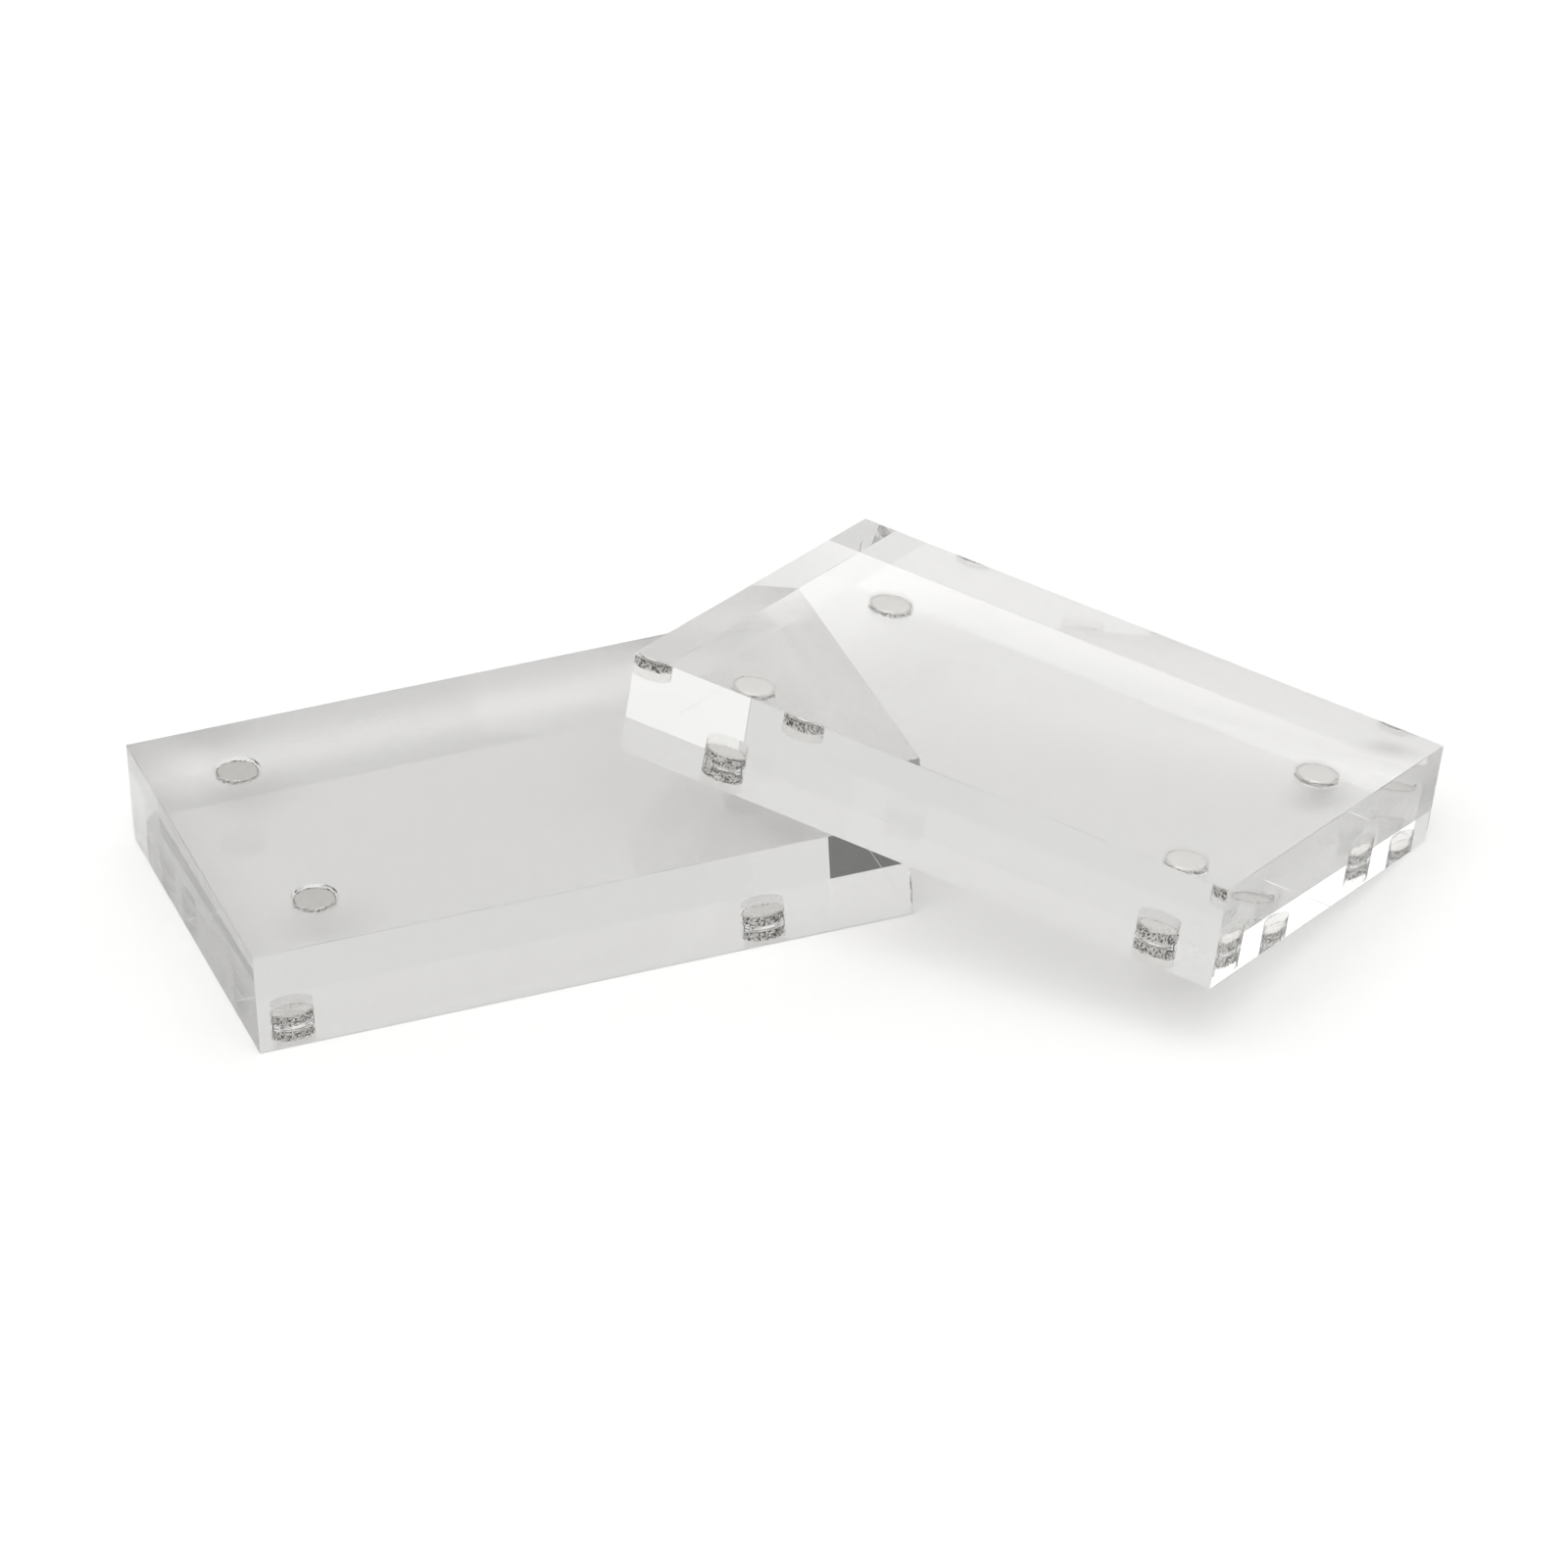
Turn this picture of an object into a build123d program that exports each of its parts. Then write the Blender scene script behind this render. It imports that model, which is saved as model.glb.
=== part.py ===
# A small picture frame: two alike blocks of clear acrylic that hold a print between them by magnets.
# Lengths are millimetres, +Z is up, and the origin is the middle of the back block's underside.
# The back block lies on the table with its mating face up. The front block has been lifted off it
# and leans with its mating face down, on the back block's right top edge and on one corner.
# Each block has a glued disc magnet near every corner, in a blind pocket that opens on the mating
# face. The corners are named as when the frame stands upright on a long side.

import os
from math import asin, degrees

from build123d import *

# Blocks, both alike
block_length = 94.0
block_width = 62.5
block_thickness = 15.0
edge_break = 0.05  # small polished chamfer along each edge

# Disc magnets and the pockets that hold them
magnet_diameter = 6.0
magnet_thickness = 1.5
magnet_edge_radius = 0.3
magnet_inset_along = 12.5  # pocket's middle to the block's short end
magnet_inset_across = 12.5  # pocket's middle to the block's long side
magnet_recess = 0.4  # magnet's outer face below the mating face
glue_gap = 0.15  # between the magnet's rim and the pocket's wall
pocket_air_space = 1.4  # left between the magnet and the pocket's closed end
pocket_mouth_break = 0.1
mouth_overrun = 1.0  # how far the pocket's cutter stands out of the mating face

# How the front block leans
lean_turn = -50.0  # degrees, the front block's turn within its own sloping plane
lean_reach = 73.4  # down the slope, from the edge that carries it to its corner on the table
lean_foot_offset = -41.0  # that corner's place along the edge, from the edge's middle
lean_clearance = 0.05  # between the edge and the front block's mating face

pocket_diameter = magnet_diameter + 2 * glue_gap
pocket_depth = magnet_recess + magnet_thickness + pocket_air_space
magnet_middle_depth = magnet_recess + magnet_thickness / 2

# Unit signs of the corners, as seen on the mating face with the block's top side away from the viewer
corner_signs = {
    "top_left": (-1, 1),
    "top_right": (1, 1),
    "bottom_left": (-1, -1),
    "bottom_right": (1, -1),
}


def pocket_middle(corner):
    """Where a pocket's axis meets the mating face of a block that lies with that face up."""
    side_along, side_across = corner_signs[corner]
    return (
        side_along * (block_length / 2 - magnet_inset_along),
        side_across * (block_width / 2 - magnet_inset_across),
        block_thickness,
    )


def make_pocket_cutter():
    """The pocket's space, hanging down from a mating face at height zero."""
    bore = Pos(0, 0, -pocket_depth) * Cylinder(
        pocket_diameter / 2,
        pocket_depth + mouth_overrun,
        align=(Align.CENTER, Align.CENTER, Align.MIN),
    )
    mouth = Pos(0, 0, -pocket_mouth_break) * Cone(
        pocket_diameter / 2,
        pocket_diameter / 2 + pocket_mouth_break,
        pocket_mouth_break,
        align=(Align.CENTER, Align.CENTER, Align.MIN),
    )
    return bore + mouth


def make_block():
    """One block, lying on its back with its mating face and pockets up."""
    block = Box(
        block_length,
        block_width,
        block_thickness,
        align=(Align.CENTER, Align.CENTER, Align.MIN),
    )
    block = chamfer(block.edges(), edge_break)
    cutter = make_pocket_cutter()
    for corner in corner_signs:
        block -= Pos(*pocket_middle(corner)) * cutter
    return block


def make_magnet():
    """A nickel-plated disc, centred below a mating face at height zero."""
    disc = Cylinder(magnet_diameter / 2, magnet_thickness)
    disc = fillet(disc.edges().filter_by(GeomType.CIRCLE), magnet_edge_radius)
    return Pos(0, 0, -magnet_middle_depth) * disc


def make_glue_ring():
    """The set adhesive that fills the gap round a magnet, as high as the magnet."""
    outside = Cylinder(pocket_diameter / 2, magnet_thickness)
    inside = Cylinder(magnet_diameter / 2, magnet_thickness)
    return Pos(0, 0, -magnet_middle_depth) * (outside - inside)


def front_block_place():
    """Carries a block that lies mating face up at the origin to the leaning front block's place."""
    support_height = block_thickness + lean_clearance
    slope = degrees(asin(support_height / lean_reach))
    turn_over = Pos(0, 0, block_thickness) * Rot(180, 0, 0)
    tilt = Rot(0, slope, 0) * Rot(0, 0, lean_turn)
    # the lowest point is the corner of the flat part of the mating face
    foot = tilt * Pos(block_length / 2 - edge_break, block_width / 2 - edge_break, 0)
    across_slope = Rot(0, slope, 0) * Pos(lean_reach, lean_foot_offset, 0)
    support = Vector(block_length / 2 - edge_break, 0, support_height)
    shift = support + across_slope.position - foot.position
    return Pos(*shift) * tilt * turn_over


def write(solid, node):
    solid.label = node
    export_step(solid, f"parts/{node}.step")


os.makedirs("parts", exist_ok=True)
block = make_block()
magnet = make_magnet()
glue_ring = make_glue_ring()
for prefix, place in (("back", Pos(0, 0, 0)), ("front", front_block_place())):
    write(place * block, f"{prefix}_block")
    for corner in corner_signs:
        seat = place * Pos(*pocket_middle(corner))
        write(seat * magnet, f"{prefix}_magnet_{corner}")
        write(seat * glue_ring, f"{prefix}_adhesive_{corner}")
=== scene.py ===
from math import cos, hypot, radians, sin, tau

import bmesh
import bpy
from mathutils import Matrix, Vector


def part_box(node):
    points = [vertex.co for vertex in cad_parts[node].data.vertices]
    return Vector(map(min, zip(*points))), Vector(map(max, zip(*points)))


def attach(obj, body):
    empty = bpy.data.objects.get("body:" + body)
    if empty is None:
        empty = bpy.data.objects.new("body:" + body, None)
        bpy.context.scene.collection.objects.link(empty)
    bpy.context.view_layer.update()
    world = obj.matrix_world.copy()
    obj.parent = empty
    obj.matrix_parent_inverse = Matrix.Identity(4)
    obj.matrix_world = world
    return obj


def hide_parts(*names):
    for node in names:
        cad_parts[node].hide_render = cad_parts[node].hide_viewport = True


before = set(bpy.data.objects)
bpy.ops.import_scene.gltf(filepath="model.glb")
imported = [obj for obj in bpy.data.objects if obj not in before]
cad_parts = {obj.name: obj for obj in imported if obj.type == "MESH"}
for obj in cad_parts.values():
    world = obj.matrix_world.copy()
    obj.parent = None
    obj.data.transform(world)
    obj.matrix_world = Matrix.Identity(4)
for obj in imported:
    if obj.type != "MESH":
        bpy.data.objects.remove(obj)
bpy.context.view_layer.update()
scene = bpy.context.scene
scene.view_settings.view_transform = "Standard"
scene.cycles.max_bounces = 32
scene.cycles.transmission_bounces = 24
scene.cycles.glossy_bounces = 24
scene.cycles.transparent_max_bounces = 24
scene.cycles.use_denoising = True
scene.cycles.denoising_input_passes = "RGB"
# the filter would dim the light that reaches the floor through the clear blocks
scene.cycles.blur_glossy = 0
print("frame loaded:", len(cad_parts), "nodes")

corners = ("top_left", "top_right", "bottom_left", "bottom_right")
tiny = 1e-6  # nothing in the object is as small as this
wholePart = 0.9999  # a part of a unit vector from which it counts as all of it


# A shader socket that takes part in plain sums. Math nodes are added as it goes.
class Wire:
    def __init__(self, shader, socket):
        self.shader = shader
        self.socket = socket

    def math(self, operation, first, second):
        return self.shader.node("ShaderNodeMath", {"operation": operation}, {0: first, 1: second})

    def __add__(self, other):
        return self.math("ADD", self, other)

    def __sub__(self, other):
        return self.math("SUBTRACT", self, other)

    def __rsub__(self, other):
        return self.math("SUBTRACT", other, self)

    def __mul__(self, other):
        return self.math("MULTIPLY", self, other)

    def __gt__(self, other):
        return self.math("GREATER_THAN", self, other)

    __radd__ = __add__
    __rmul__ = __mul__


# One node tree, of a material or of the world.
class Shader:
    def __init__(self, owner):
        owner.use_nodes = True
        self.owner = owner
        self.tree = owner.node_tree
        self.tree.nodes.clear()

    def node(self, kind, settings=None, inputs=None, output=0):
        made = self.tree.nodes.new(kind)
        for name, value in (settings or {}).items():
            if name == "stops":
                for stop, (position, colour) in zip(made.color_ramp.elements, value):
                    stop.position = position
                    stop.color = colour
            else:
                setattr(made, name, value)
        for name, value in (inputs or {}).items():
            if isinstance(value, Wire):
                self.tree.links.new(value.socket, made.inputs[name])
            else:
                made.inputs[name].default_value = value
        return Wire(self, made.outputs[output] if made.outputs else None)

    def surface(self, wire, kind="ShaderNodeOutputMaterial"):
        self.node(kind, None, {"Surface": wire})
        return self.owner

    def place(self):
        return self.node("ShaderNodeTexCoord", None, None, "Object")

    def noise(self, scale, detail, roughness, stretch=(1, 1, 1)):
        place = self.node("ShaderNodeMapping", None, {"Vector": self.place(), "Scale": stretch})
        inputs = {"Vector": place, "Scale": scale, "Detail": detail, "Roughness": roughness}
        return self.node("ShaderNodeTexNoise", None, inputs, "Fac")

    def bump(self, height, depth):
        inputs = {"Height": height, "Strength": 1.0, "Distance": depth}
        return self.node("ShaderNodeBump", None, inputs, "Normal")


def newShader(name):
    return Shader(bpy.data.materials.new(name))


# Where each block lies: its own +Z points out of the mating face, and its middle is the origin.
def blockPlace(prefix):
    middle = {}
    for corner in corners:
        low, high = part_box(f"{prefix}_magnet_{corner}")
        middle[corner] = (low + high) / 2
    along = (middle["top_right"] - middle["top_left"]).normalized()
    across = (middle["top_left"] - middle["bottom_left"]).normalized()
    outward = along.cross(across)
    magnetsMiddle = sum(middle.values(), Vector()) / len(middle)
    place = Matrix((along, across, outward)).transposed().to_4x4()
    place.translation = magnetsMiddle
    return place


# The back block lies square to the frame, so the boxes of its nodes give the sizes that both share.
blockLow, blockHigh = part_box("back_block")
blockSize = blockHigh - blockLow
magnetLow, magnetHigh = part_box("back_magnet_top_left")
glueLow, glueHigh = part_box("back_adhesive_top_left")
magnetSpot = (magnetLow + magnetHigh) / 2
magnetSize = magnetHigh - magnetLow
magnetDepth = blockHigh.z - magnetSpot.z  # of its middle, below the mating face
pocketRadius = (glueHigh.x - glueLow.x) / 2
cornerSigns = {"top_left": (-1, 1), "top_right": (1, 1), "bottom_left": (-1, -1), "bottom_right": (1, -1)}


def cornerSpot(corner, height):
    signX, signY = cornerSigns[corner]
    return Vector((signX * abs(magnetSpot.x), signY * abs(magnetSpot.y), height))


def alongAxis(part):
    return abs(part) > wholePart


# A profile of radii and heights, turned about Z. A radius of zero gives one point on the axis.
def turned(profile, sides, closed=False):
    mesh = bmesh.new()
    rings = []
    for radius, height in profile:
        turns = [tau * side / sides for side in range(sides if radius else 1)]
        rings.append([mesh.verts.new((radius * cos(turn), radius * sin(turn), height)) for turn in turns])
    pairs = list(zip(rings, rings[1:]))
    if closed:
        pairs.append((rings[-1], rings[0]))
    for low, high in pairs:
        for side in range(sides):
            following = (side + 1) % sides
            quad = (low[side % len(low)], low[following % len(low)],
                    high[following % len(high)], high[side % len(high)])
            # a point on the axis is in it twice, which leaves a triangle
            mesh.faces.new(dict.fromkeys(quad))
    return mesh


def toObject(mesh, name, material, smooth=None):
    data = bpy.data.meshes.new(name)
    mesh.to_mesh(data)
    mesh.free()
    data.materials.append(material)
    piece = bpy.data.objects.new(name, data)
    scene.collection.objects.link(piece)
    if smooth:
        data.set_sharp_from_angle(angle=radians(smooth))
        for face in data.polygons:
            face.use_smooth = not alongAxis(face.normal.z)
    return piece


def settle(piece, prefix, node, place):
    piece.data.transform(place)
    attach(piece, f"{prefix}_half")
    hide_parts(node)


# Clear blocks

block = {
    "edgeRadius": 0.00005,
    "edgeSegments": 3,
    "pocketDepth": 0.0033,
    "mouthBreak": 0.00006,
    "pocketSides": 96,
    "cutterStandOut": 0.001,
    "pocketSlack": 0.00001,  # how far past its radius a face still counts as the pocket's
    "smoothAngle": 20,
    "smoothArea": 1e-6,  # larger faces stay flat
    "ior": 1.49,
    # the large faces' grey tint is painted shade: it darkens what shows through the clear acrylic
    "facePaintedShadeTint": (0.93, 0.928, 0.922, 1),
    "faceShade": 0.48,
    # the narrow sides' darker tint is painted shade: a darker copy of the large faces' acrylic
    "edgePaintedShadeTint": (0.69, 0.688, 0.68, 1),
    # noises are given by scale, detail and roughness
    "haze": (180, 4, 0.6),
    "hazeRoughness": 0.008,
    # fine marks: scattered wiping marks on the faces, polishing lines along the edges
    "marks": (700, 3, 0.6),
    "markThreshold": 0.68,
    "markRoughness": 0.012,
    "faceGrain": (0.06, 1.4, 1),
    "edgeGrain": (0.05, 0.05, 3),
    "milling": (1500, 4, 0.7),
    "millingRoughness": 0.2,
    "millingDepth": 0.00001,
    "pocketTint": (0.99, 0.988, 0.982, 1),
    # the pockets' milled surfaces are wetted by adhesive of nearly the acrylic's own index, so they
    # bend light very little: walls behind the magnet, walls beside it, and closed ends
    "behind": {"roughness": 0.2, "clearness": 0.9, "ior": 1.02},
    "beside": {"roughness": 0.1, "clearness": 1.0, "ior": 1.02},
    "closedEnd": {"roughness": 0.15, "clearness": 0.75, "ior": 1.01},
}


def acrylicMaterial(name, paintedShadeTint, grain, shade=None):
    shader = newShader(name)
    haze = shader.noise(*block["haze"])
    marks = shader.noise(*block["marks"], grain) > block["markThreshold"]
    # Base Color takes the painted shade tint, which greys what shows through the block
    inputs = {
        "Base Color": paintedShadeTint,
        "Roughness": haze * block["hazeRoughness"] + marks * block["markRoughness"],
        "IOR": block["ior"],
        "Transmission Weight": 1.0,
    }
    if shade:
        # light that the floor sends up is dimmed once more, so that a block shades the floor as one
        # block or two, and what lies behind it still shows clear
        fromFloor = shader.node("ShaderNodeLightPath", None, None, "Is Diffuse Ray")
        shaded = tuple(part * shade for part in paintedShadeTint[:3]) + (1,)
        # the Mix node's colours are its sockets 6 and 7, and its output 2
        choice = {0: fromFloor, 6: paintedShadeTint, 7: shaded}
        inputs["Base Color"] = shader.node("ShaderNodeMix", {"data_type": "RGBA"}, choice, 2)
    return shader.surface(shader.node("ShaderNodeBsdfPrincipled", None, inputs))


def pocketMaterial(name):
    surface = block[name]
    shader = newShader(name)
    milling = shader.noise(*block["milling"])
    inputs = {
        "Base Color": block["pocketTint"],
        "Roughness": surface["roughness"] + (milling - 0.5) * block["millingRoughness"],
        "Normal": shader.bump(milling, block["millingDepth"]),
        "IOR": surface["ior"],
        "Transmission Weight": surface["clearness"],
    }
    return shader.surface(shader.node("ShaderNodeBsdfPrincipled", None, inputs))


def pocketCutter(material):
    # closed end, wall, broken mouth edge and a stretch that stands out of the face
    flare = pocketRadius + block["mouthBreak"]
    profile = (
        (0, -block["pocketDepth"]),
        (pocketRadius, -block["pocketDepth"]),
        (pocketRadius, -magnetDepth - magnetSize.z / 2),
        (pocketRadius, -magnetDepth + magnetSize.z / 2),
        (pocketRadius, -block["mouthBreak"]),
        (flare, 0),
        (flare, block["cutterStandOut"]),
        (0, block["cutterStandOut"]),
    )
    return toObject(turned(profile, block["pocketSides"]), "pocketCutter", material)


def inPocket(face):
    if face.center.z > magnetDepth - tiny:
        return False
    spots = [cornerSpot(corner, 0) for corner in corners]
    reach = pocketRadius + block["pocketSlack"]
    return any(hypot(face.center.x - spot.x, face.center.y - spot.y) < reach for spot in spots)


# The materials are those of the large faces, the narrow sides, the pockets' walls behind and beside
# the magnets, and the pockets' closed ends.
def makeBlock(prefix, place, materials):
    mesh = bmesh.new()
    bmesh.ops.create_cube(mesh, size=1)
    bmesh.ops.scale(mesh, vec=blockSize, verts=mesh.verts)
    bmesh.ops.bevel(mesh, geom=mesh.edges[:], offset=block["edgeRadius"], affect="EDGES",
                    segments=block["edgeSegments"], profile=0.5, material=-1)
    bmesh.ops.translate(mesh, vec=(0, 0, magnetDepth - blockSize.z / 2), verts=mesh.verts)
    piece = toObject(mesh, f"{prefix}_block_clear", materials[0])
    for corner in corners:
        cutter = pocketCutter(materials[0])
        cutter.data.transform(Matrix.Translation(cornerSpot(corner, magnetDepth)))
        cut = piece.modifiers.new("pocket", "BOOLEAN")
        cut.operation = "DIFFERENCE"
        cut.solver = "EXACT"
        cut.object = cutter
        bpy.context.view_layer.update()
        graph = bpy.context.evaluated_depsgraph_get()
        data = bpy.data.meshes.new_from_object(piece.evaluated_get(graph))
        piece.modifiers.clear()
        piece.data = data
        bpy.data.objects.remove(cutter)
    smoothWalls(piece.data)
    for material in materials[1:]:
        piece.data.materials.append(material)
    for face in piece.data.polygons:
        sideways = abs(face.normal.z) < 0.5
        if not inPocket(face):
            face.material_index = 1 if sideways else 0
        elif not sideways:
            face.material_index = 4
        elif face.center.z < magnetSize.z / 2:
            face.material_index = 2 if face.center.z < -magnetSize.z / 2 else 3
    settle(piece, prefix, f"{prefix}_block", place)


def smoothWalls(data):
    # the pocket walls and the rounded corners are shaded smooth, all else flat
    data.set_sharp_from_angle(angle=radians(block["smoothAngle"]))
    for face in data.polygons:
        flat = any(alongAxis(part) for part in face.normal)
        face.use_smooth = not flat and face.area < block["smoothArea"]


# Magnets

magnet = {
    "edgeRadius": 0.0003,
    "edgeSegments": 3,
    "sides": 96,
    "smoothAngle": 40,
    "fine": (2200, 3, 0.6),
    "fineRoughness": 0.14,
    "fineDepth": 0.000004,
    "worn": (900, 4, 0.7),
    "wornFrom": 0.3,
    "wornTo": 0.6,
    # the bare outer face
    "nickelFace": {
        "dull": (0.5, 0.488, 0.462, 1),
        "bright": (0.54, 0.532, 0.512, 1),
        "roughness": 0.14,
        "metallic": 1.0,
    },
    # the rim, dulled by the adhesive, with a painted highlight: a far paler copy of the nickel plating
    "gluedRimPaintedHighlight": {
        "dull": (0.84, 0.83, 0.81, 1),
        "bright": (0.94, 0.93, 0.91, 1),
        "roughness": 0.35,
        "metallic": 0.2,
    },
    # the inner face, seen through the block, with painted light: a far paler copy of the nickel plating
    "innerFacePaintedLight": {
        "dull": (0.9, 0.89, 0.87, 1),
        "bright": (0.95, 0.94, 0.92, 1),
        "roughness": 0.1,
        "metallic": 0.85,
    },
}


def platingMaterial(name):
    surface = magnet[name]
    shader = newShader(name)
    fine = shader.noise(*magnet["fine"])
    worn = shader.noise(*magnet["worn"])
    plating = [(magnet["wornFrom"], surface["dull"]), (magnet["wornTo"], surface["bright"])]
    inputs = {
        "Base Color": shader.node("ShaderNodeValToRGB", {"stops": plating}, {"Fac": worn}),
        "Metallic": surface["metallic"],
        "Roughness": surface["roughness"] + fine * magnet["fineRoughness"],
        "Normal": shader.bump(fine, magnet["fineDepth"]),
    }
    return shader.surface(shader.node("ShaderNodeBsdfPrincipled", None, inputs))


def makeMagnet(prefix, corner, place, outer, rim, inner):
    mesh = bmesh.new()
    radius = magnetSize.x / 2
    bmesh.ops.create_cone(mesh, cap_ends=True, segments=magnet["sides"], radius1=radius, radius2=radius,
                          depth=magnetSize.z)
    rims = [edge for edge in mesh.edges if abs(edge.verts[0].co.z - edge.verts[1].co.z) < tiny]
    bmesh.ops.bevel(mesh, geom=rims, offset=magnet["edgeRadius"], affect="EDGES",
                    segments=magnet["edgeSegments"], profile=0.5, material=-1)
    bmesh.ops.translate(mesh, vec=cornerSpot(corner, 0), verts=mesh.verts)
    piece = toObject(mesh, f"{prefix}_magnet_{corner}_plated", outer, magnet["smoothAngle"])
    piece.data.materials.append(rim)
    piece.data.materials.append(inner)
    # the rim takes the pale painted highlight and the inner face the painted light; the outer face keeps the
    # plain plating
    for face in piece.data.polygons:
        if face.normal.z < 0.5:
            face.material_index = 2 if face.normal.z < -0.5 else 1
    settle(piece, prefix, f"{prefix}_magnet_{corner}", place)


# Set adhesive round the magnets

glue = {
    "sides": 96,
    "smoothAngle": 40,
    "wetting": 0.00001,  # how far the film reaches into the wall and stays off the magnet
    "patches": (2800, 3, 0.6),
    "coverage": 0.575,
    "colour": (0.14, 0.137, 0.132, 1),
    "metallic": 0.7,
    "roughness": 0.45,
}


def glueMaterial():
    shader = newShader("patchyAdhesive")
    inputs = {
        "Base Color": glue["colour"],
        "Metallic": glue["metallic"],
        "Roughness": glue["roughness"],
        "Alpha": shader.noise(*glue["patches"]) > glue["coverage"],
    }
    return shader.surface(shader.node("ShaderNodeBsdfPrincipled", None, inputs))


def makeGlueRing(prefix, corner, place, film, ends):
    inner = magnetSize.x / 2 + glue["wetting"]
    outer = pocketRadius + glue["wetting"]
    half = (glueHigh.z - glueLow.z) / 2
    section = ((inner, -half), (outer, -half), (outer, half), (inner, half))
    mesh = turned(section, glue["sides"], closed=True)
    bmesh.ops.translate(mesh, vec=cornerSpot(corner, 0), verts=mesh.verts)
    piece = toObject(mesh, f"{prefix}_adhesive_{corner}_film", film, glue["smoothAngle"])
    piece.data.materials.append(ends)
    # the adhesive's two ends take the rim's pale painted highlight
    for face in piece.data.polygons:
        face.material_index = 1 if abs(face.normal.z) > 0.5 else 0
    settle(piece, prefix, f"{prefix}_adhesive_{corner}", place)


# the clear acrylic is greyed by painted shade, the narrow sides darker than the large faces
clearAcrylicPaintedShade = acrylicMaterial("clearAcrylicPaintedShade", block["facePaintedShadeTint"], block["faceGrain"], block["faceShade"])
polishedEdgesPaintedShade = acrylicMaterial("polishedEdgesPaintedShade", block["edgePaintedShadeTint"], block["edgeGrain"])
milledPockets = [pocketMaterial(name) for name in ("behind", "beside", "closedEnd")]
nickelFace, gluedRimPaintedHighlight, innerFacePaintedLight = [platingMaterial(name) for name in ("nickelFace", "gluedRimPaintedHighlight", "innerFacePaintedLight")]
patchyAdhesive = glueMaterial()
for prefix in ("back", "front"):
    place = blockPlace(prefix)
    makeBlock(prefix, place, [clearAcrylicPaintedShade, polishedEdgesPaintedShade] + milledPockets)
    for corner in corners:
        makeMagnet(prefix, corner, place, nickelFace, gluedRimPaintedHighlight, innerFacePaintedLight)
        makeGlueRing(prefix, corner, place, patchyAdhesive, gluedRimPaintedHighlight)
    print(prefix, "block, magnets and adhesive made")


# Floor and surroundings

stage = {
    "floorSize": 3.0,
    "floorDrop": 0.0002,  # a film of air under the blocks
    "floorColour": (0.98, 0.98, 0.98, 1),
    "floorRoughness": 0.9,
    "floorShine": 0.1,
    "surroundings": 0.7,
    "warmth": (1, 0.998, 0.992, 1),
}
# Brighter and darker parts of the surroundings: azimuth from +Y towards +X, elevation, and the
# angles from that direction within which the part is whole and beyond which it has gone. Degrees.
zones = {
    "horizon": {"azimuth": 0, "elevation": -90, "whole": 95, "gone": 106, "level": 1.0},
    "overhead": {"azimuth": -155, "elevation": 66, "whole": 15, "gone": 45, "level": 1.98},
    "backPanel": {"azimuth": 22, "elevation": 26, "whole": 11, "gone": 17, "level": 1.0},
    "rightPanel": {"azimuth": 78, "elevation": 14, "whole": 8, "gone": 16, "level": 1.3},
    "leftLow": {"azimuth": -104, "elevation": 13.5, "whole": 6, "gone": 12, "level": 1.1},
    "leftHigh": {"azimuth": -108, "elevation": 37, "whole": 6, "gone": 12, "level": 1.6},
    "darkCorner": {"azimuth": -18, "elevation": 31, "whole": 6, "gone": 9, "level": 0.19},
    "cameraSide": {"azimuth": 166, "elevation": 30, "whole": 10, "gone": 18, "level": 0.18},
}


def makeFloor():
    shader = newShader("paleFloor")
    inputs = {
        "Base Color": stage["floorColour"],
        "Roughness": stage["floorRoughness"],
        "Specular IOR Level": stage["floorShine"],
    }
    material = shader.surface(shader.node("ShaderNodeBsdfPrincipled", None, inputs))
    mesh = bmesh.new()
    bmesh.ops.create_grid(mesh, x_segments=1, y_segments=1, size=stage["floorSize"])
    bmesh.ops.translate(mesh, vec=(0, 0, -stage["floorDrop"]), verts=mesh.verts)
    toObject(mesh, "floor", material)


def makeWorld():
    scene.world = bpy.data.worlds.new("surroundings")
    shader = Shader(scene.world)
    direction = shader.node("ShaderNodeTexCoord", None, None, "Generated")
    level = stage["surroundings"]
    for zone in zones.values():
        turn, lift = radians(zone["azimuth"]), radians(zone["elevation"])
        middle = (sin(turn) * cos(lift), cos(turn) * cos(lift), sin(lift))
        pair = {0: direction, 1: middle}
        facing = shader.node("ShaderNodeVectorMath", {"operation": "DOT_PRODUCT"}, pair, "Value")
        limits = {
            "Value": facing,
            "From Min": cos(radians(zone["gone"])),
            "From Max": cos(radians(zone["whole"])),
        }
        inZone = shader.node("ShaderNodeMapRange", {"interpolation_type": "SMOOTHSTEP"}, limits, "Result")
        level = level + inZone * (zone["level"] - stage["surroundings"])
    background = shader.node("ShaderNodeBackground", None, {"Color": stage["warmth"], "Strength": level})
    shader.surface(background, "ShaderNodeOutputWorld")


makeFloor()
makeWorld()


# Camera, fitted to the photograph's outlines

camera = {
    "aim": (0.03720, -0.00595, 0.00924),
    "distance": 1.51888,
    "azimuth": 17.292,
    "elevation": 30.189,
    "roll": -2.984,
    "lens": 250.77,
    "sensor": 36.0,
}


def makeCamera():
    turn, lift = radians(camera["azimuth"]), radians(camera["elevation"])
    forward = Vector((sin(turn) * cos(lift), cos(turn) * cos(lift), -sin(lift)))
    right = Vector((cos(turn), -sin(turn), 0))
    up = right.cross(forward)
    place = Matrix((right, up, -forward)).transposed().to_4x4()
    place.translation = Vector(camera["aim"]) - forward * camera["distance"]
    data = bpy.data.cameras.new("photoCamera")
    data.lens = camera["lens"]
    data.sensor_width = camera["sensor"]
    viewer = bpy.data.objects.new("photoCamera", data)
    viewer.matrix_world = place @ Matrix.Rotation(radians(camera["roll"]), 4, "Z")
    scene.collection.objects.link(viewer)
    scene.camera = viewer


makeCamera()
print("stage and camera made")
